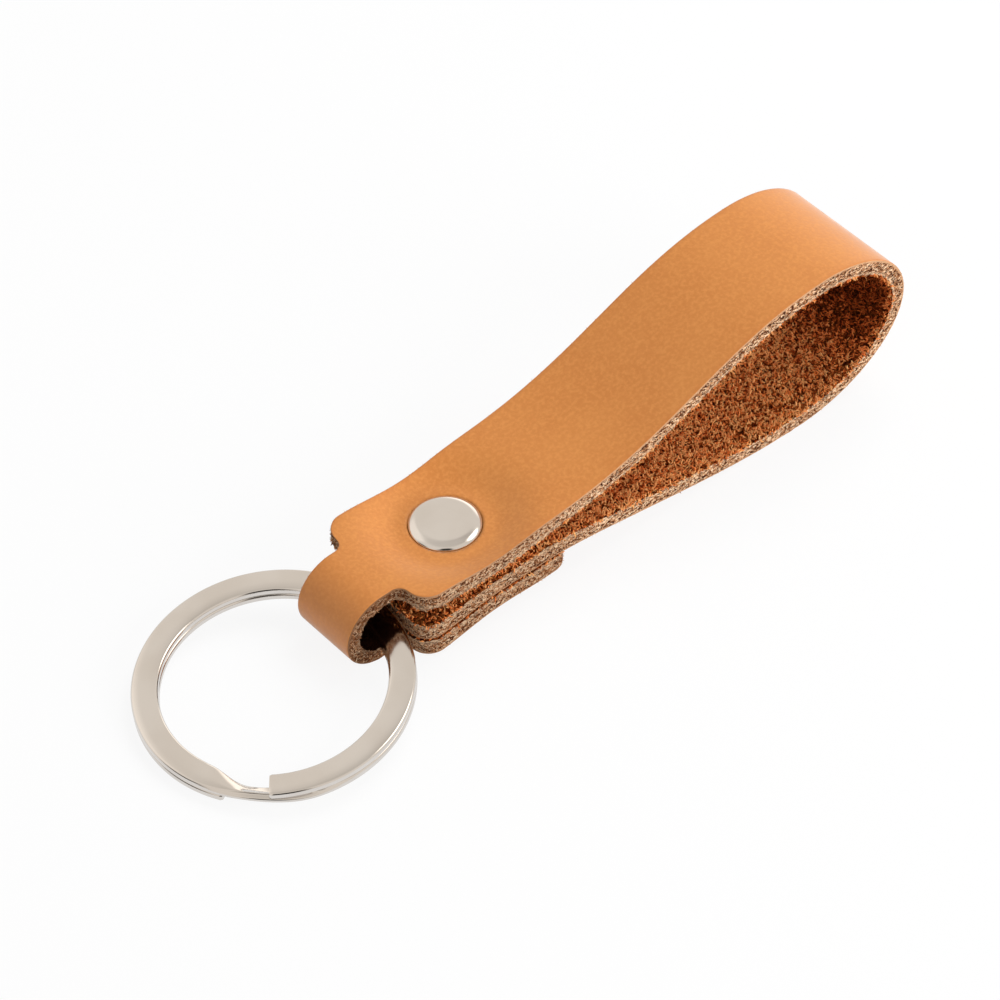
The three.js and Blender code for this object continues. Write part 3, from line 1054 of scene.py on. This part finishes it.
# The split ring: one wire, two turns and a step, swept along a path
splitRing = {
    "Bore": 14.6 * mm,
    "Wire Width": 3.55 * mm,
    "Wire Height": 1.08 * mm,
    "Pitch": 1.09 * mm,
    "Rounding": 0.42 * mm,
    "Start": math.radians(-131),
    "Step Start": math.radians(-168 + 360),
    "Step End": math.radians(-134 + 360),
    "End": math.radians(-150.5 + 720),
    "Lag": math.radians(24),  # the wire's outer edge steps down this much later than its inner one
    "Narrowing": 0.34,  # share of the wire's width lost on its inner side at the step
    "Chamfer": 0.55 * mm,  # and its outer edge is pressed slanting there
    "Crown": 0.08 * mm,  # rise of the wire's flat sides
    "Roll": 0.07,  # slope of the upper turn at its free end
    "Points": 720,
}
ringDetail = {
    "filletPoints": 5,
    "cuts": 2,  # of each side of the wire's section
    "endScale": 0.92,  # the section at the two cut ends
    "endGrowth": 0.08,  # and what it grows by at the next point
    "past": (0.2, 0.7),  # radians beyond the step, where the wire is whole again
    "narrows": (math.radians(8), math.radians(7)),  # inside the step's two ends
    "slantAcross": (0.6, 0.95),  # shares of the wire's width and height that the slant takes
    "slantUp": (0.5, 0.9),
    "crownUp": (0.5, 1.0),
    "leastHeight": 0.15,  # of the lower end, under the step
    "rollReach": 0.9,  # radians
    "sharpAngle": 55,  # degrees
}
ringSink = 0.14 * mm  # the turns touch here, so they lie lower than the solid's


def sweptWire(tree, given, levelAt):  # a rounded bar along two turns, each point marked with its angle
    spots = minus(given["Points"], 1.0)
    part = maths("DIVIDE", result(tree, "GeometryNodeInputIndex"), spots)
    sweep = minus(given["End"], given["Start"])
    angle = plus(given["Start"], times(part, sweep))
    radius = plus(given["Bore"], times(given["Wire Width"], 0.5))
    x = times(radius, maths("COSINE", angle))
    y = times(radius, maths("SINE", angle))
    beads = result(tree, "GeometryNodeMeshLine", {"Count": given["Points"]})
    wound = setPosition(tree, beads, combine(tree, x, y, levelAt(angle)))
    marked = store(tree, wound, "turned", angle)
    path = result(tree, "GeometryNodeMeshToCurve", {"Mesh": marked})
    upright = result(tree, "GeometryNodeSetCurveNormal", {"Curve": path}, mode="Z_UP")
    sizes = {"Width": given["Wire Width"], "Height": given["Wire Height"]}
    bar = result(tree, "GeometryNodeCurvePrimitiveQuadrilateral", sizes)
    corners = {"Curve": bar, "Count": ringDetail["filletPoints"], "Radius": given["Rounding"]}
    rounded = result(tree, "GeometryNodeFilletCurve", corners, mode="POLY")
    cuts = {"Curve": rounded, "Cuts": ringDetail["cuts"]}
    section = result(tree, "GeometryNodeSubdivideCurve", cuts)
    along = result(tree, "GeometryNodeSplineParameter")
    nearest = maths("MINIMUM", along, minus(1.0, along))
    fromEnd = maths("MINIMUM", times(nearest, spots), 1.0)
    scale = plus(ringDetail["endScale"], times(fromEnd, ringDetail["endGrowth"]))
    return sweepSection(tree, upright, section, scale)


def formedPlace(tree, given, stepped, levelAt):  # where the wire's points go as its step is pressed
    d = ringDetail
    start, stepStart, stepEnd = given["Start"], given["Step Start"], given["Step End"]
    bore, width, tall = given["Bore"], given["Wire Width"], given["Wire Height"]
    turned = named(tree, "turned")
    spot = put(tree, "ShaderNodeSeparateXYZ", {0: position(tree)}).outputs
    out = vectorMaths(tree, "LENGTH", {0: combine(tree, spot["X"], spot["Y"])})["Value"]
    level = levelAt(turned)
    bottom = minus(level, times(tall, 0.5))
    fromBore, fromBottom = minus(out, bore), minus(spot["Z"], bottom)
    outwards = maths("DIVIDE", fromBore, width)
    upwards = maths("DIVIDE", fromBottom, tall)

    # The wire is narrowed and slanted at the step
    past = softStep(turned, *(plus(stepEnd, reach) for reach in d["past"]))
    before = minus(1.0, past)
    first, last = d["narrows"]
    narrows = softStep(turned, plus(stepStart, first), minus(stepEnd, last))
    slim = minus(1.0, times(times(narrows, before), given["Narrowing"]))
    rim = plus(bore, width)
    drawn = minus(rim, times(minus(rim, out), slim))
    across = softStep(outwards, *d["slantAcross"])
    corner = times(across, softStep(upwards, *d["slantUp"]))
    slanting = times(stepped(turned), before)
    pressed = times(times(corner, slanting), given["Chamfer"])
    outward = maths("DIVIDE", minus(drawn, pressed), out)

    # It is twisted there, and thinned where the step passes over its lower end
    later = minus(turned, times(outwards, given["Lag"]))
    held = minus(levelAt(later), level)
    above = stepped(minus(later, 2 * math.pi))
    lost = times(above, maths("DIVIDE", given["Pitch"], tall))
    thinned = maths("MAXIMUM", minus(1.0, lost), d["leastHeight"])

    # Its flat sides are crowned, and its free end is rolled
    fromMiddle = minus(times(outwards, 2.0), 1.0)
    dome = minus(1.0, times(fromMiddle, fromMiddle))
    crown = times(times(dome, softStep(upwards, *d["crownUp"])), given["Crown"])
    started = softStep(turned, start, plus(start, d["rollReach"]))
    roll = times(given["Roll"], minus(1.0, started))
    height = plus(times(fromBottom, thinned), crown)
    height = plus(height, times(roll, fromBore))
    x, y = times(spot["X"], outward), times(spot["Y"], outward)
    return combine(tree, x, y, plus(plus(bottom, height), held))


def ringTree():
    sizes = {**dict.fromkeys(splitRing, "Float"), "Points": "Int"}
    inputs = {"Geometry": "Geometry", **sizes, "Material": "Material"}
    tree, given = newTree("split_ring", "GeometryNodeTree", inputs, {"Geometry": "Geometry"})

    def stepped(angle):  # 0 before the step, 1 beyond it
        return softStep(angle, given["Step Start"], given["Step End"])

    def levelAt(angle):
        return times(given["Pitch"], minus(0.5, stepped(angle)))

    wire = sweptWire(tree, given, levelAt)
    formed = setPosition(tree, wire, formedPlace(tree, given, stepped, levelAt))
    finishTree(tree, formed, given["Material"])
    return tree


def ringPlace():  # the solid's box gives the ring's middle, and the plane through its points the droop
    points = np.array([vertex.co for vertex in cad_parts["split_ring"].data.vertices])
    flattest = np.linalg.svd(points - points.mean(0), full_matrices=False)[2][2]
    up = Vector(flattest if flattest[2] > 0 else -flattest)
    side = Vector((0, 1, 0))
    along = side.cross(up).normalized()
    turn = Matrix((along, side, along.cross(side))).transposed().to_4x4()
    return Matrix.Translation(boxMiddle("split_ring") - ringSink * up) @ turn


ringMesh = runNodes(ringTree(), bpy.data.meshes.new("bare"), {**splitRing, "Material": nickel})
ringMesh.name = "wound_split_ring"
ringMesh.transform(ringPlace())
shadeSmooth(ringMesh, ringDetail["sharpAngle"])
addPiece("wound_split_ring", ringMesh, "ring", "nickel", "split_ring")
print("split ring:", len(ringMesh.polygons), "faces")


# Floor, light and camera
stage = {
    "floorSize": 4.0,
    "floorWhite": 0.9,
    "glow": 0.88,  # share of plain white that the camera sees on the floor
    "skyLevel": 0.36,
    "roomLevel": 0.94,  # what metal mirrors where no panel stands
    "roomTint": (1.0, 0.935, 0.855),
}

# What metal mirrors: compass angle, height and the half-angles where a panel is full and gone, in degrees,
# and its level
panels = {
    "ceiling": (70, 76, 12, 28, 0.5),
    "left": (-156, 36, 20, 32, 1.17),
    "softBox": (60, 44, 13, 20, 3.0),
    "behind": (-42, 14, 11, 29, 0.14),
    "corner": (-104, 7, 8, 22, 0.14),
    "overhead": (-30, 88, 8, 40, 0.74),
    "beyond": (122, 11, 8, 25, 1.8),
    "viewer": (-40, 35, 9, 17, 0.04),
}

# Each lamp: compass angle and height in degrees, distance in mm, power in watts, size in metres
lamps = {
    "key": (105, 54, 700, 2.8, 0.45),
    "front": (24, 22, 700, 3.5, 0.5),
    "fill": (-85, 32, 700, 0.65, 0.6),
}

view = {
    "aim": (-2.506, 2.571, 7.621),
    "distance": 556.2,
    "azimuth": -41.82,
    "elevation": 45.9,
    "roll": 0.85,
    "lens": 153.73,
    "sensor": 36,
    "clipStart": 0.01,  # metres
}


def compass(azimuth, elevation):
    a, e = math.radians(azimuth), math.radians(elevation)
    return Vector((math.sin(a) * math.cos(e), -math.cos(a) * math.cos(e), math.sin(e)))


def fromAim(azimuth, elevation, distance):
    return (Vector(view["aim"]) + compass(azimuth, elevation) * distance) * mm


def towardsAim(place):
    return (Vector(view["aim"]) * mm - place).to_track_quat("-Z", "Y")


def grey(level):
    return (level, level, level, 1)


def addFloor():
    size = stage["floorSize"] / 2
    corners = [(-size, -size, 0), (size, -size, 0), (size, size, 0), (-size, size, 0)]
    mesh = bpy.data.meshes.new("floor")
    mesh.from_pydata(corners, [], [(0, 1, 2, 3)])
    material = bpy.data.materials.new("floor")
    tree = bareTree(material)
    matt = result(tree, "ShaderNodeBsdfDiffuse", {"Color": grey(stage["floorWhite"])})
    white = result(tree, "ShaderNodeEmission", {"Color": grey(1.0), "Strength": 1.0})
    path = put(tree, "ShaderNodeLightPath").outputs
    seen = maths("MAXIMUM", path["Is Camera Ray"], path["Is Glossy Ray"])  # directly, or in metal
    share = times(seen, stage["glow"])
    mixed = result(tree, "ShaderNodeMixShader", {0: share, 1: matt, 2: white})
    put(tree, "ShaderNodeOutputMaterial", {"Surface": mixed})
    mesh.materials.append(material)
    floor = addObject("floor", mesh)


def addWorld():
    world = bpy.data.worlds.new("studio")
    bpy.context.scene.world = world
    tree = bareTree(world)
    way = put(tree, "ShaderNodeTexCoord").outputs["Generated"]

    def room(level):
        red, green, blue = stage["roomTint"]
        return (level * red, level * green, level * blue, 1)

    mirrored = room(stage["roomLevel"])
    for azimuth, elevation, full, gone, level in panels.values():
        facing = vectorMaths(tree, "DOT_PRODUCT", {0: way, 1: compass(azimuth, elevation)})["Value"]
        share = softStep(facing, math.cos(math.radians(gone)), math.cos(math.radians(full)))
        mirrored = blend(share, mirrored, room(level))
    path = put(tree, "ShaderNodeLightPath").outputs
    colour = blend(path["Is Glossy Ray"], grey(stage["skyLevel"]), mirrored)
    colour = blend(path["Is Camera Ray"], colour, grey(1.0))
    back = result(tree, "ShaderNodeBackground", {"Color": colour, "Strength": 1.0})
    put(tree, "ShaderNodeOutputWorld", {"Surface": back})


def addLamp(name, azimuth, elevation, distance, power, size):
    lamp = bpy.data.lights.new(name, "AREA")
    lamp.energy, lamp.size = power, size
    item = addObject(name, lamp)
    item.location = fromAim(azimuth, elevation, distance)
    item.rotation_euler = towardsAim(item.location).to_euler()
    item.visible_glossy = False  # metal mirrors the room alone


def addCamera():
    camera = addObject("camera", bpy.data.cameras.new("camera"))
    camera.data.lens = view["lens"]
    camera.data.sensor_width = view["sensor"]
    camera.data.clip_start = view["clipStart"]
    camera.location = fromAim(view["azimuth"], view["elevation"], view["distance"])
    look = towardsAim(camera.location).to_matrix()
    roll = Matrix.Rotation(math.radians(view["roll"]), 3, "Z")
    camera.rotation_euler = (look @ roll).to_euler()
    bpy.context.scene.camera = camera


addFloor()
addWorld()
for lampName, settings in lamps.items():
    addLamp(lampName, *settings)
addCamera()
bpy.context.scene.view_settings.view_transform = "Standard"
print("floor, light and camera set")
